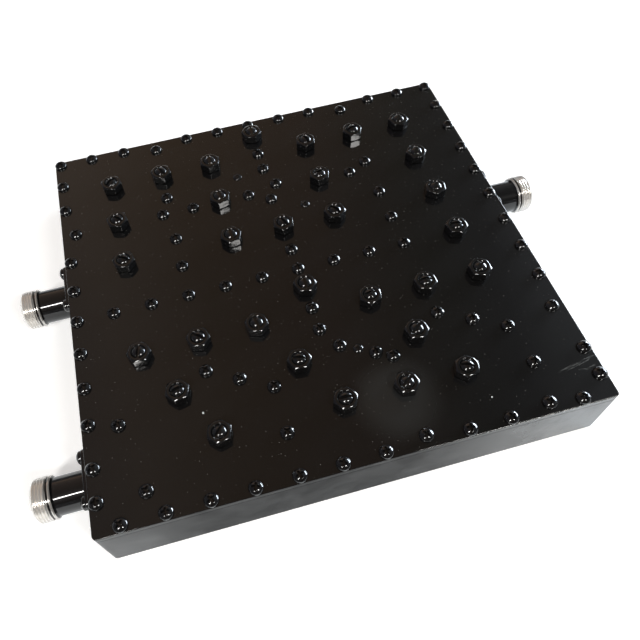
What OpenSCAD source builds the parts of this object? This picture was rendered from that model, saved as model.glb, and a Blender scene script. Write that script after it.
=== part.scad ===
// Cavity duplexer: a milled box of coupled coaxial resonators under a screwed cover,
// with a locked tuning screw over each resonator and over each opening between two.
// Origin: centre of the underside. X runs right, Y to the back, Z up. Millimetres.

/* [Housing] */
// Width of the box, left to right
body_w = 180; // [178:0.5:190]
// Length of the box, front to back
body_l = 173; // [160:1:190]
// Height of the housing below the cover
housing_h = 23.5; // [23.5:0.5:28]
// Thickness of the outer walls
wall = 5.2; // [5:0.1:5.6]
// Thickness of the floor
floor_t = 2.5; // [2:0.1:3.5]
// Thickness of the walls between cavities
web = 4.4; // [4:0.1:6]
// Radius of the four upright outer corners
corner_r = 1.7; // [1:0.1:3]
// Radius that the cutter leaves in the cavity corners
cutter_r = 6; // [4:0.5:8]
// Radius of the pillars around the inner cover screws
pillar_r = 3.2; // [2.6:0.1:3.4]
// Distance of the tapped holes in the underside from the side faces
foot_inset = 5; // [4.6:0.1:5.2]
// Wall radius of the tapped holes in the underside
foot_r = 1.65; // [1.4:0.05:1.8]
// Depth of the tapped holes in the underside
foot_depth = 8; // [5:0.5:12]

/* [Cover] */
// Thickness of the cover
cover_t = 2.5; // [2:0.1:4]
// Distance of the rim screws from the edge
rim_inset = 2.6; // [2.6:0.05:2.8]
// Further distance of the rim screws that stand beside an inner wall
rim_step = 3.2; // [2:0.1:3.6]

/* [Resonators] */
// Distance along X between a resonator and the coupling screw beside it
pitch = 22; // [21.6:0.1:22.2]
// Distance of the front row of resonators from the front face
front_inset = 23.2; // [22.8:0.1:24]
// Distance of the back row of resonators from the back face
back_inset = 23.7; // [23.4:0.1:24.4]
// Outer diameter of a resonator post
post_d = 10; // [9.4:0.1:11]
// Bore of a resonator post
post_bore_d = 7.4; // [7:0.1:7.8]
// Diameter of the wide top of a post
cap_d = 17; // [14:0.5:18]
// Thickness of the wide top at its edge
cap_t = 1.2; // [0.8:0.1:2]
// Gap between the top of a post and the cover
post_gap = 3.5; // [3:0.1:6]
// Height of the round boss under each post
boss_h = 2; // [1.5:0.1:3]
// Thickness of the foot inside a post
foot_t = 2.5; // [2:0.1:3]

/* [Tuning screws] */
// Thread diameter of the tuning screws
tuner_d = 5; // [4.4:0.1:5.2]
// Length of the screws above the resonators
resonator_tuner_l = 18; // [14:0.5:18.5]
// Length of the screws between the resonators
coupling_tuner_l = 20; // [14:0.5:21]
// Height of a tuning screw above its nut
tuner_stand = 1; // [0.5:0.1:2]
// Width of the slot in a tuning screw
slot_w = 1.1; // [0.8:0.1:1.4]
// Depth of the slot in a tuning screw
slot_deep = 1.4; // [1:0.1:2]
// Width across the flats of the lock nuts
nut_af = 8; // [7.6:0.1:8.4]
// Height of the lock nuts
nut_h = 4; // [3:0.1:5]
// Diameter of the countersinks in the lock nuts
nut_sink_d = 5.8; // [5.6:0.1:6.6]

/* [Screws] */
// Thread diameter of the cover and flange screws
screw_d = 2.5; // [2.2:0.1:2.5]
// Head diameter of the cover and flange screws
head_d = 5; // [4.4:0.1:5.2]
// Head height of the cover and flange screws
head_h = 2; // [1.6:0.1:2.4]
// Depth of the cover screws in the housing
screw_grip = 2.5; // [2:0.1:2.5]
// Depth of the flange screws in the housing
flange_grip = 3.8; // [3:0.1:4.4]
// Thread diameter of the post screws
post_screw_d = 3; // [2.5:0.1:3.4]
// Head diameter of the post screws
post_head_d = 5.5; // [5:0.1:6]
// Head height of the post screws
post_head_h = 1.8; // [1.4:0.1:2]
// Thread diameter of the probe screws
probe_screw_d = 2; // [1.6:0.1:2.4]
// Head diameter of the probe screws
probe_head_d = 3.8; // [3.4:0.1:4.4]
// Head height of the probe screws
probe_head_h = 1; // [0.8:0.1:1.4]

/* [Connectors] */
// Distance of the connector axes below the cover
conn_drop = 12.1; // [12.1:0.1:12.4]
// Side of the square flange
flange_w = 21.6; // [21.4:0.1:22]
// Thickness of the flange
flange_t = 2.2; // [2:0.1:3.2]
// Radius of the flange corners
flange_r = 2.4; // [1:0.1:3]
// Distance between the flange screws
flange_pitch = 16.2; // [15.8:0.1:16.2]
// Diameter of the smooth barrel
barrel_d = 13.6; // [13:0.1:14.4]
// Distance from the wall to the collar behind the thread
barrel_l = 14.2; // [13:0.1:14.6]
// Outer diameter of the coupling thread
thread_d = 15.88; // [15.4:0.02:16.6]
// Length of the thread at its full diameter
thread_l = 4.2; // [3:0.1:6]
// Length of the collar and groove behind the thread
collar_l = 1.8; // [1.5:0.1:3]
// Length of the tapered nose
nose_l = 1.4; // [1:0.1:2]
// Diameter of the nose at the mouth
nose_d = 12.8; // [12:0.1:13.4]
// Bore of the mouth
mouth_d = 8.1; // [7.8:0.05:8.4]
// Depth of the mouth
mouth_depth = 9.1; // [8:0.1:10]
// Diameter of the insulator
insulator_d = 10; // [9:0.1:10.4]
// Diameter of the centre contact
contact_d = 3.04; // [2.6:0.02:3.4]
// Bore of the contact's socket
socket_d = 1.65; // [1.4:0.05:1.8]
// Depth of the contact's socket
socket_deep = 6; // [4:0.5:8]
// Width of the slits in the contact's socket
slit_w = 0.3; // [0.2:0.05:0.4]
// Length of the slits in the contact's socket
slit_deep = 4; // [3:0.5:5]
// Distance of the contact's tip behind the mouth
contact_set = 5; // [4.6:0.1:5.4]
// Length of the contact inside the wall
contact_tail = 3; // [2:0.1:4]
// Diameter of the tap wires
tap_d = 1.2; // [1:0.1:1.4]

/* [Cross couplings] */
// Reach of the strap from the crossing of the walls, along X and along Y
strap_reach = 12; // [11:0.5:13]
// Width of the strap
strap_w = 2; // [1.4:0.1:2.6]
// Length of the strap's two feet under the cover
strap_drop = 3.5; // [2.5:0.1:5]
// Diameter of the rod in the insulating block
probe_d = 1.6; // [1:0.1:2]
// Length of the rod in the insulating block
probe_l = 16; // [12:0.5:20]
// Height of the insulating block
block_h = 6; // [5.4:0.1:7]

/* [Hidden] */
$fn = 64;

// Clearance on the radius where one part passes through another
fit = 0.05;
// Clearance of a screw at the end of its hole
end_fit = 0.1;
// Extra length that carries a cut past a face
over = 1;

half_w = body_w / 2;
half_l = body_l / 2;
inner_x = half_w - wall;
inner_y = half_l - wall;
rim_x = half_w - rim_inset;
rim_y = half_l - rim_inset;
top_z = housing_h + cover_t;
conn_z = housing_h - conn_drop;

// Rows from the front: a row of resonators, slanted openings, then a square grid
row_pitch = (body_l - front_inset - back_inset) / (sqrt(3) + 4);
y_front = front_inset - half_l;
y_slant = y_front + row_pitch * sqrt(3) / 2;
y_near = y_front + row_pitch * sqrt(3);
y_wall = y_near + row_pitch;
y_mid = y_wall + row_pitch;
y_cross = y_mid + row_pitch;
y_back = y_cross + row_pitch;
// Rows where three of the slanted walls meet, and the lean of the slanted lines
y_low_node = y_front + row_pitch / sqrt(3);
y_high_node = y_near - row_pitch / sqrt(3);
lean = atan2(row_pitch * sqrt(3), pitch);
function col(k) = k * pitch;
// Spacing of the cover screws along X and along Y
step = pitch * 2 / 3;
row_step = row_pitch * 2 / 3;

resonator_spots = concat(
    [for (y = [y_back, y_mid, y_near]) for (k = [-3 : 2 : 3]) [col(k), y]],
    [for (k = [-2 : 2 : 2]) [col(k), y_front]]);

// The two openings in the middle wall that lie off the grid
rear_gap_w = 11.6;
low_gap_shift = 1.2;
y_rear_gap = inner_y - rear_gap_w / 2;
y_low_gap = (y_near + y_wall) / 2 + low_gap_shift;

// Openings between cavities: x, y, direction of the passage, width
openings = [
    [col(-2), y_back, 0, 22], [col(2), y_back, 0, 24], [0, y_rear_gap, 0, rear_gap_w],
    [col(-3), y_cross, 90, 28], [col(-1), y_cross, 90, 18],
    [col(1), y_cross, 90, 20], [col(3), y_cross, 90, 30],
    [0, y_mid, 0, 20], [col(3), y_wall, 90, 30],
    [col(-2), y_near, 0, 22], [0, y_low_gap, 0, 12], [col(2), y_near, 0, 22],
    [col(-2.5), y_slant, -lean, 15], [col(-0.5), y_slant, -lean, 15],
    [col(1.5), y_slant, -lean, 15], [col(1), y_front, 0, 15]];
passage_l = 14;
tuner_spots = concat(resonator_spots, [for (o = openings) [o[0], o[1]]]);

// Angle at which each tuning screw's slot was left
resonator_turns = [35, 80, 110, 60, 150, 95, 130, 50, 75, 100, 3, 40, 48, 0, 155];
coupling_turns = [120, 12, 85, 140, 100, 5, 60, 115, 165, 145, 90, 172, 16, 165, 35, 32];
// Angle of each lock nut, in the order of tuner_spots
nut_turns = [43, 17, 17, 43, 46, 10, 45, 17, 57, 40, 18, 36, 15, 6, 14,
    43, 6, 44, 43, 14, 10, 53, 19, 40, 46, 48, 38, 12, 55, 45, 53];

// Cover screws along the edges: left, right, back and front
rim_spots = concat(
    [for (y = [y_front - front_inset / 2, y_front]) [-rim_x, y]],
    [for (k = [-3 : 5]) [k == 3 ? rim_step - rim_x : -rim_x, y_wall + k * row_step]],
    [for (y = [y_front - 13.8, y_front - 2.9]) [rim_x, y]],
    [for (k = [-3 : 5]) [k == -3 ? rim_x - rim_step * 0.7 : rim_x, y_wall + k * row_step]],
    [for (k = [-5 : 5]) [k * step, abs(k) == 3 ? rim_y - rim_step : rim_y]],
    [for (k = [-5.5 : 3.5]) [k * step, k == 1.5 ? rim_step * 0.6 - rim_y : -rim_y]],
    [[col(3), rim_step * 0.5 - rim_y], [rim_x - 10, -rim_y]],
    [[-rim_x, rim_y], [rim_x, rim_y]]);

// Cover screws on the inner walls
inner_spots = concat(
    [for (k = [-5 : 3]) [k * step, y_wall]],
    [for (x = [col(-2), col(2)]) for (k = [1, 2]) [x, y_wall + k * row_step]],
    [[col(-2) - 3.2, y_cross], [col(-2) + 9.9, y_cross], [col(-2), y_cross + 9],
     [col(2), y_cross + 4.2], [col(2) - 8.4, y_cross]],
    [[0, y_wall + 10], [-1, y_cross - 5], [-9.8, y_cross], [3.1, y_cross + 3.1],
     [0, y_cross + 13.5], [0, y_back + 1.2]],
    [[0, y_near + 2.5], [0, y_near - 7.3], [5, y_slant + 3.1], [16.6, y_slant - 3.3]],
    [for (k = [-2, 2]) [col(k), y_high_node]],
    [for (k = [-1, 1, 3]) [col(k), y_low_node]],
    [for (k = [-1.5, 2.5]) [col(k), y_slant]],
    [[col(-1), y_front - 5.2], [col(3) + 2.1, y_front - 3.4],
     [-rim_x + 10.2, y_front + 13.2], [-rim_x + 16.3, y_front - 12.1]]);

// Cross couplings: the strap's two ends and the place and direction of the rod
strap_spots = [[-strap_reach, y_cross + strap_reach], [strap_reach, y_cross - strap_reach]];
probe_spot = [pitch / 2, y_slant];
probe_spots = concat(strap_spots, [probe_spot]);
strap_t = 1;
strap_foot_r = 2;
strap_screw_l = 2.5;
block_w = 5;
block_l = 6;
probe_rise = 2;
probe_z = housing_h - block_h + probe_rise;

// Connectors: row, side of the box and column of the post that it feeds
front_left = [y_front, -1, -2];
rear_left = [y_mid, -1, -3];
right = [y_mid, 1, 3];
connectors = [front_left, rear_left, right];
groove_l = 0.8;
groove_deep = 0.8;
groove_d = thread_d - 2 * groove_deep;
collar_bevel = 0.6;
thread_start = barrel_l + collar_l;
conn_l = thread_start + thread_l + nose_l;
spigot_wall = 0.9;
spigot_d = insulator_d + 2 * spigot_wall;
shoulder_t = 1;
shoulder_d = 7;
cup_deep = 2.5;

boss_r = 7;
post_foot_z = floor_t + boss_h;
post_l = housing_h - post_gap - post_foot_z;
post_grip = 1;
post_screw_l = foot_t + boss_h + post_grip;
tap_set = 0.8;
base_ring = 1;
base_ring_h = 0.8;

// Widths of the cross recesses in the screw heads
recess_w = 0.8;
probe_recess_w = 0.5;
post_recess_w = 0.9;

// Names of the nodes
function two_digits(i) = str(i < 9 ? "0" : "", i + 1);
function resonator_tuner_name(i) = str("resonator_tuner_", two_digits(i));
function coupling_tuner_name(i) = str("coupling_tuner_", two_digits(i));

// Puts its children at each spot
module at(spots) {
    for (p = spots)
        translate([p[0], p[1], 0])
            children();
}

// Upright block with four round corners, centred on the Z axis
module rounded_block(w, l, h, r) {
    linear_extrude(h)
        union() {
            square([w - 2 * r, l], center = true);
            square([w, l - 2 * r], center = true);
            for (x = [-1, 1], y = [-1, 1])
                translate([x * (w / 2 - r), y * (l / 2 - r)])
                    circle(r);
        }
}

// Block between two corners with the cutter's radius in its upright edges
module milled_pocket(x0, x1, y0, y1) {
    translate([(x0 + x1) / 2, (y0 + y1) / 2, floor_t])
        rounded_block(x1 - x0, y1 - y0, housing_h - floor_t + over, cutter_r);
}

// Left and right edge of the square cavity in column k
function pocket_left(k) = k == -3 ? -inner_x : col(k - 1) + web / 2;
function pocket_right(k) = k == 3 ? inner_x : col(k + 1) - web / 2;

module cavities() {
    near_r = min(pitch, row_pitch) - web / 2;
    side_r = min(near_r, inner_x - col(3));
    front_r = min(near_r, front_inset - wall);
    for (k = [-3 : 2 : 3]) {
        milled_pocket(pocket_left(k), pocket_right(k), y_cross + web / 2, inner_y);
        milled_pocket(pocket_left(k), pocket_right(k), y_wall + web / 2, y_cross - web / 2);
        milled_pocket(pocket_left(k), pocket_right(k), y_near - cutter_r, y_wall - web / 2);
        translate([col(k), y_near, floor_t])
            cylinder(r = abs(k) == 3 ? side_r : near_r, h = housing_h);
    }
    for (k = [-2 : 2 : 2])
        translate([col(k), y_front, floor_t])
            cylinder(r = front_r, h = housing_h);
    for (o = openings)
        translate([o[0], o[1], floor_t])
            rotate([0, 0, o[2]])
                translate([-passage_l / 2, -o[3] / 2, 0])
                    cube([passage_l, o[3], housing_h]);
    // Channel from the front left connector to its cavity
    translate([-inner_x, y_front - spigot_d / 2, floor_t])
        cube([inner_x + col(-2), spigot_d, housing_h]);
    // Empty pocket in the front right corner
    milled_pocket(col(3) + 6, inner_x, -inner_y, y_front + 8);
}

// Slots for the strap and the insulating block in the tops of the walls
module coupling_slots() {
    translate([0, y_cross, housing_h - strap_drop - strap_t - over])
        rotate([0, 0, -45])
            translate([-passage_l, -strap_w, 0])
                cube([2 * passage_l, 2 * strap_w, housing_h]);
    translate([probe_spot[0], probe_spot[1], housing_h - block_h - fit])
        rotate([0, 0, lean])
            translate([-passage_l / 2, -block_w / 2 - fit, 0])
                cube([passage_l, block_w + 2 * fit, housing_h]);
}

// Puts its children on the axis of a connector, with +Z pointing out of the box
module on_wall(c) {
    translate([c[1] * half_w, c[0], conn_z])
        rotate([0, c[1] * 90, 0])
            children();
}

module at_flange_screws() {
    for (x = [-1, 1], y = [-1, 1])
        translate([x * flange_pitch / 2, y * flange_pitch / 2, 0])
            children();
}

module housing() {
    color([0.10, 0.10, 0.10])
        difference() {
            union() {
                difference() {
                    rounded_block(body_w, body_l, housing_h, corner_r);
                    difference() {
                        cavities();
                        at(concat(inner_spots, rim_spots))
                            cylinder(r = pillar_r, h = housing_h);
                    }
                }
                at(resonator_spots)
                    translate([0, 0, floor_t / 2])
                        cylinder(r = boss_r, h = floor_t / 2 + boss_h);
            }
            coupling_slots();
            at(concat(inner_spots, rim_spots))
                translate([0, 0, housing_h - screw_grip - end_fit])
                    cylinder(d = screw_d + 2 * fit, h = screw_grip + over);
            at(resonator_spots)
                translate([0, 0, post_foot_z + foot_t - post_screw_l - end_fit])
                    cylinder(d = post_screw_d + 2 * fit, h = post_screw_l);
            for (c = connectors)
                on_wall(c) {
                    translate([0, 0, -wall - over])
                        cylinder(d = spigot_d + 2 * fit, h = wall + 2 * over);
                    at_flange_screws()
                        translate([0, 0, -flange_grip - end_fit])
                            cylinder(d = screw_d + 2 * fit, h = flange_grip + over);
                }
            for (x = [-1, 1], y = [-1, 1])
                translate([x * (half_w - foot_inset), y * (half_l - foot_inset), -over])
                    cylinder(r = foot_r, h = foot_depth + over);
        }
}

module cover() {
    color([0.07, 0.07, 0.07])
        translate([0, 0, housing_h])
            difference() {
                rounded_block(body_w, body_l, cover_t, corner_r);
                at(concat(inner_spots, rim_spots))
                    translate([0, 0, -over])
                        cylinder(d = screw_d + 2 * fit, h = cover_t + 2 * over);
                at(tuner_spots)
                    translate([0, 0, -over])
                        cylinder(d = tuner_d + 2 * fit, h = cover_t + 2 * over);
                at(probe_spots)
                    translate([0, 0, -over])
                        cylinder(d = probe_screw_d + 2 * fit, h = cover_t + 2 * over);
            }
}

// Screw with a domed head standing on Z = 0 and a cross recess in the head
module pan_screw(d, l, head_d, head_h, recess_w) {
    edge_h = head_h * 0.45;
    dome_h = head_h - edge_h;
    dome_r = (pow(head_d / 2, 2) + pow(dome_h, 2)) / (2 * dome_h);
    difference() {
        union() {
            translate([0, 0, -l])
                cylinder(d = d, h = l + head_h / 2);
            intersection() {
                cylinder(d = head_d, h = head_h);
                translate([0, 0, head_h - dome_r])
                    sphere(dome_r);
            }
        }
        translate([0, 0, head_h])
            for (turn = [0, 90])
                rotate([0, 0, turn])
                    cube([head_d * 0.56, recess_w, head_h], center = true);
    }
}

module cover_screw() {
    translate([0, 0, top_z])
        pan_screw(screw_d, cover_t + screw_grip, head_d, head_h, recess_w);
}

// Each screw stopped at its own angle
module screw_row(spots) {
    for (i = [0 : len(spots) - 1])
        translate([spots[i][0], spots[i][1], 0])
            rotate([0, 0, (i * 37) % 90])
                children();
}

module rim_screws() {
    color([0.12, 0.12, 0.12])
        screw_row(rim_spots)
            cover_screw();
}

module inner_screws() {
    color([0.12, 0.12, 0.12])
        screw_row(inner_spots)
            cover_screw();
}

module probe_screws() {
    color([0.10, 0.10, 0.10])
        screw_row(probe_spots)
            translate([0, 0, top_z])
                pan_screw(probe_screw_d, cover_t + strap_screw_l, probe_head_d, probe_head_h,
                    probe_recess_w);
}

module lock_nuts() {
    corner = nut_af / 2 / cos(30);
    face_r = nut_af / 2 * 0.97;
    bevel = (corner - face_r) * tan(30);
    bore_r = tuner_d / 2 + fit;
    sink_h = nut_sink_d / 2 - bore_r;
    color([0.13, 0.13, 0.13])
        for (i = [0 : len(tuner_spots) - 1])
            translate([tuner_spots[i][0], tuner_spots[i][1], top_z])
                rotate([0, 0, nut_turns[i]])
                    difference() {
                        intersection() {
                            cylinder(r = corner, h = nut_h, $fn = 6);
                            rotate_extrude()
                                polygon([[0, 0], [face_r, 0], [corner, bevel],
                                    [corner, nut_h - bevel], [face_r, nut_h], [0, nut_h]]);
                        }
                        translate([0, 0, -over])
                            cylinder(r = bore_r, h = nut_h + 2 * over);
                        cylinder(d1 = nut_sink_d, d2 = 2 * bore_r, h = sink_h);
                        translate([0, 0, nut_h - sink_h])
                            cylinder(d1 = 2 * bore_r, d2 = nut_sink_d, h = sink_h);
                    }
}

// Headless screw with a domed, slotted top at Z = 0, hanging down
module tuning_screw(l) {
    dome_h = 0.6;
    dome_r = (pow(tuner_d / 2, 2) + pow(dome_h, 2)) / (2 * dome_h);
    end_bevel = 0.5;
    difference() {
        union() {
            intersection() {
                translate([0, 0, end_bevel - l])
                    cylinder(d = tuner_d, h = l - end_bevel);
                translate([0, 0, -dome_r])
                    union() {
                        sphere(dome_r);
                        translate([0, 0, -2 * l])
                            cylinder(d = 2 * tuner_d, h = 2 * l);
                    }
            }
            translate([0, 0, -l])
                cylinder(d1 = tuner_d - 2 * end_bevel, d2 = tuner_d, h = end_bevel);
        }
        translate([-tuner_d, -slot_w / 2, -slot_deep])
            cube([2 * tuner_d, slot_w, slot_deep + over]);
    }
}

module placed_tuner(spot, turn, l) {
    color([0.14, 0.14, 0.14])
        translate([spot[0], spot[1], top_z + nut_h + tuner_stand])
            rotate([0, 0, turn])
                tuning_screw(l);
}

module resonator_tuner(i) {
    placed_tuner(resonator_spots[i], resonator_turns[i], resonator_tuner_l);
}

module coupling_tuner(i) {
    placed_tuner(openings[i], coupling_turns[i], coupling_tuner_l);
}

// Hollow post with a wide top, standing on Z = 0
module resonator_post() {
    flare = (cap_d - post_d) / 2;
    difference() {
        rotate_extrude()
            polygon([[0, 0], [post_d / 2 + base_ring, 0], [post_d / 2 + base_ring, base_ring_h],
                [post_d / 2, base_ring_h + base_ring],
                [post_d / 2, post_l - cap_t - flare * 0.4], [cap_d / 2, post_l - cap_t],
                [cap_d / 2, post_l], [0, post_l]]);
        translate([0, 0, foot_t])
            cylinder(d = post_bore_d, h = post_l);
        translate([0, 0, -over])
            cylinder(d = post_screw_d + 2 * fit, h = foot_t + 2 * over);
    }
}

module resonator_posts() {
    color([0.80, 0.80, 0.78])
        difference() {
            at(resonator_spots)
                translate([0, 0, post_foot_z])
                    resonator_post();
            // Hole for the tap wire in each post that a connector feeds
            for (c = connectors)
                translate([col(c[2]) + c[1] * (post_d / 2 - tap_set - end_fit), c[0], conn_z])
                    rotate([0, c[1] * 90, 0])
                        cylinder(d = tap_d + 2 * fit, h = tap_set + over);
        }
}

module post_screws() {
    color([0.62, 0.62, 0.62])
        screw_row(resonator_spots)
            translate([0, 0, post_foot_z + foot_t])
                pan_screw(post_screw_d, post_screw_l, post_head_d, post_head_h, post_recess_w);
}

module coupling_loop() {
    color([0.78, 0.60, 0.38])
        difference() {
            union() {
                at(strap_spots)
                    translate([0, 0, housing_h - strap_drop])
                        cylinder(r = strap_foot_r, h = strap_drop);
                translate([0, y_cross, housing_h - strap_drop - strap_t])
                    rotate([0, 0, -45])
                        translate([-strap_reach * sqrt(2), -strap_w / 2, 0])
                            cube([2 * strap_reach * sqrt(2), strap_w, strap_t]);
                at(strap_spots)
                    translate([0, 0, housing_h - strap_drop - strap_t])
                        cylinder(r = strap_foot_r, h = strap_t);
            }
            at(strap_spots)
                translate([0, 0, housing_h - strap_screw_l - end_fit])
                    cylinder(d = probe_screw_d + 2 * fit, h = strap_screw_l + over);
        }
}

// Puts its children at the rod's place, with +X along the rod
module at_probe(z) {
    translate([probe_spot[0], probe_spot[1], z])
        rotate([0, 0, lean])
            children();
}

module coupling_probe() {
    color([0.78, 0.60, 0.38])
        at_probe(probe_z)
            rotate([0, 90, 0])
                translate([0, 0, -probe_l / 2])
                    cylinder(d = probe_d, h = probe_l);
}

module probe_block() {
    color([0.93, 0.93, 0.90])
        difference() {
            at_probe(housing_h - block_h)
                translate([-block_l / 2, -block_w / 2, 0])
                    cube([block_l, block_w, block_h]);
            at_probe(probe_z)
                rotate([0, 90, 0])
                    translate([0, 0, -block_l])
                        cylinder(d = probe_d + 2 * fit, h = 2 * block_l);
            at([probe_spot])
                translate([0, 0, housing_h - strap_screw_l - end_fit])
                    cylinder(d = probe_screw_d + 2 * fit, h = strap_screw_l + over);
        }
}

// Turned shell with a square flange, on its own axis with the wall at Z = 0
module connector_shell() {
    groove_z = thread_start - groove_l;
    seat_z = conn_l - mouth_depth - shoulder_t;
    color([0.16, 0.16, 0.16])
        difference() {
            union() {
                rounded_block(flange_w, flange_w, flange_t, flange_r);
                rotate_extrude()
                    polygon([[0, -wall], [spigot_d / 2, -wall], [spigot_d / 2, over],
                        [barrel_d / 2, over], [barrel_d / 2, barrel_l],
                        [thread_d / 2, barrel_l + collar_bevel], [thread_d / 2, groove_z],
                        [groove_d / 2, groove_z], [groove_d / 2, thread_start],
                        [thread_d / 2, thread_start], [thread_d / 2, conn_l - nose_l],
                        [nose_d / 2, conn_l], [0, conn_l]]);
            }
            translate([0, 0, conn_l - mouth_depth])
                cylinder(d = mouth_d, h = mouth_depth + over);
            translate([0, 0, conn_l - nose_l / 2])
                cylinder(d1 = mouth_d, d2 = mouth_d + nose_l * 2, h = nose_l);
            translate([0, 0, seat_z - over])
                cylinder(d = shoulder_d, h = shoulder_t + 2 * over);
            translate([0, 0, -wall - over])
                cylinder(d = insulator_d + 2 * fit, h = seat_z + wall + over);
            at_flange_screws()
                translate([0, 0, -over])
                    cylinder(d = screw_d + 2 * fit, h = flange_t + 2 * over);
        }
}

module connector_insulator() {
    color([0.93, 0.93, 0.90])
        translate([0, 0, -wall])
            difference() {
                cylinder(d = insulator_d, h = wall + conn_l - mouth_depth - shoulder_t);
                translate([0, 0, -over])
                    cylinder(d = contact_d + 2 * fit, h = wall + conn_l);
            }
}

// Contact with a slotted socket at its outer end and a solder cup at its inner end
module connector_contact() {
    tip_z = conn_l - contact_set;
    color([0.85, 0.68, 0.32])
        difference() {
            translate([0, 0, -wall - contact_tail])
                cylinder(d = contact_d, h = wall + contact_tail + tip_z);
            translate([0, 0, tip_z - socket_deep])
                cylinder(d = socket_d, h = socket_deep + over);
            for (turn = [45, 135])
                rotate([0, 0, turn])
                    translate([-contact_d, -slit_w / 2, tip_z - slit_deep])
                        cube([2 * contact_d, slit_w, slit_deep + over]);
            translate([0, 0, -wall - contact_tail - over])
                cylinder(d = tap_d + 2 * fit, h = cup_deep + over + end_fit);
        }
}

// Wire from the solder cup to the post in column k
module connector_tap(c) {
    wire_start = half_w - wall - contact_tail + cup_deep;
    wire_end = abs(col(c[2])) + post_d / 2 - tap_set;
    color([0.78, 0.60, 0.38])
        translate([c[1] * wire_end, c[0], conn_z])
            rotate([0, c[1] * 90, 0])
                cylinder(d = tap_d, h = wire_start - wire_end);
}

module flange_screws() {
    color([0.12, 0.12, 0.12])
        for (c = connectors)
            on_wall(c)
                at_flange_screws()
                    translate([0, 0, flange_t])
                        pan_screw(screw_d, flange_t + flange_grip, head_d, head_h, recess_w);
}

housing();
cover();
rim_screws();
inner_screws();
probe_screws();
lock_nuts();
resonator_posts();
post_screws();
coupling_loop();
coupling_probe();
probe_block();
flange_screws();
on_wall(front_left) connector_shell();  // front_left_shell
on_wall(front_left) connector_insulator();  // front_left_insulator
on_wall(front_left) connector_contact();  // front_left_contact
connector_tap(front_left);  // front_left_tap
on_wall(rear_left) connector_shell();  // rear_left_shell
on_wall(rear_left) connector_insulator();  // rear_left_insulator
on_wall(rear_left) connector_contact();  // rear_left_contact
connector_tap(rear_left);  // rear_left_tap
on_wall(right) connector_shell();  // right_shell
on_wall(right) connector_insulator();  // right_insulator
on_wall(right) connector_contact();  // right_contact
connector_tap(right);  // right_tap
for (i = [0 : len(resonator_spots) - 1])
    resonator_tuner(i);
for (i = [0 : len(openings) - 1])
    coupling_tuner(i);
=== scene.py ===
# %% [markdown]
# # Cavity duplexer
# The object is a flat box milled from aluminium, full of radio cavities and closed by a
# screwed cover. It was put together first and sprayed gloss black afterwards, so one skin of
# paint runs over the box, the screws, the nuts and the connectors, and only the plug threads
# are bare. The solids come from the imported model. This script keeps their places and gives
# each visible part its real edges, threads, recesses and finish.

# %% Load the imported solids
import math
from contextlib import contextmanager
import bmesh
import bpy
from mathutils import Matrix, Vector


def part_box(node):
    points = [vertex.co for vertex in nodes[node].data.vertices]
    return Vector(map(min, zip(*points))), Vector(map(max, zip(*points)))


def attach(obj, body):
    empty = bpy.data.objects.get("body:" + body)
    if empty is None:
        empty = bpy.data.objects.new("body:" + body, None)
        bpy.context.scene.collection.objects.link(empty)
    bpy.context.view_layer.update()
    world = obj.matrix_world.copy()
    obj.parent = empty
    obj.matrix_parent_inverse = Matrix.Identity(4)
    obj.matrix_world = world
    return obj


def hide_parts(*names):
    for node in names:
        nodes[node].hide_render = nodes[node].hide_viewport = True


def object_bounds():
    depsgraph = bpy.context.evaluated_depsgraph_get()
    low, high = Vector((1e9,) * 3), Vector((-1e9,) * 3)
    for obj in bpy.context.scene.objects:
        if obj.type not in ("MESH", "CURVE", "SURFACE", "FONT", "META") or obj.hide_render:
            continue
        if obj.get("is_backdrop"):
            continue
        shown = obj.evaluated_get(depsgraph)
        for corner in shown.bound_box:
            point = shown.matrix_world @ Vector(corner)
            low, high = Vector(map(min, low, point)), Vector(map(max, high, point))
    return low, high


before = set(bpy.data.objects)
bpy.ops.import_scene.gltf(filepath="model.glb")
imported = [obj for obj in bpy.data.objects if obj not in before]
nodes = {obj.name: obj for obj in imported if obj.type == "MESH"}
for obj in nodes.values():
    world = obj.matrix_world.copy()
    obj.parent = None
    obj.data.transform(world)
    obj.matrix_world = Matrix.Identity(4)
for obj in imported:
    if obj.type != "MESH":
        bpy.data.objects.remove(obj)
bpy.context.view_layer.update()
MM = 0.001
MERGE_DISTANCE = 0.001 * MM

# %% [markdown]
# ## Where the small parts sit
# About a hundred screws and 31 nuts stand on the box. Their places could be typed in again,
# but they are already in the solids, so they are measured there. A solid's outermost corners
# also tell how far it is turned: a hexagon repeats six times in a turn, a cross four times
# and a slot twice.

# %% Split a node into its solids
def joined_mesh(node_name):
    """The node's loose triangles with their shared corners joined."""
    mesh = bmesh.new()
    mesh.from_mesh(nodes[node_name].data)
    bmesh.ops.remove_doubles(mesh, verts=mesh.verts, dist=MERGE_DISTANCE)
    return mesh


def solids_of(node_name):
    """The corners of each solid in a node, from left to right."""
    mesh = joined_mesh(node_name)
    unseen = dict.fromkeys(mesh.verts)
    found = []
    while unseen:
        reached = [unseen.popitem()[0]]
        corners = []
        while reached:
            corner = reached.pop()
            corners.append(corner.co.copy())
            for edge in corner.link_edges:
                other = edge.other_vert(corner)
                if other in unseen:
                    del unseen[other]
                    reached.append(other)
        found.append(corners)
    mesh.free()
    return sorted(found, key=lambda corners: tuple(round(c, 5) for c in centre_of(corners)))


def centre_of(corners):
    low = Vector(min(c[axis] for c in corners) for axis in range(3))
    high = Vector(max(c[axis] for c in corners) for axis in range(3))
    return (low + high) / 2


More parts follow.
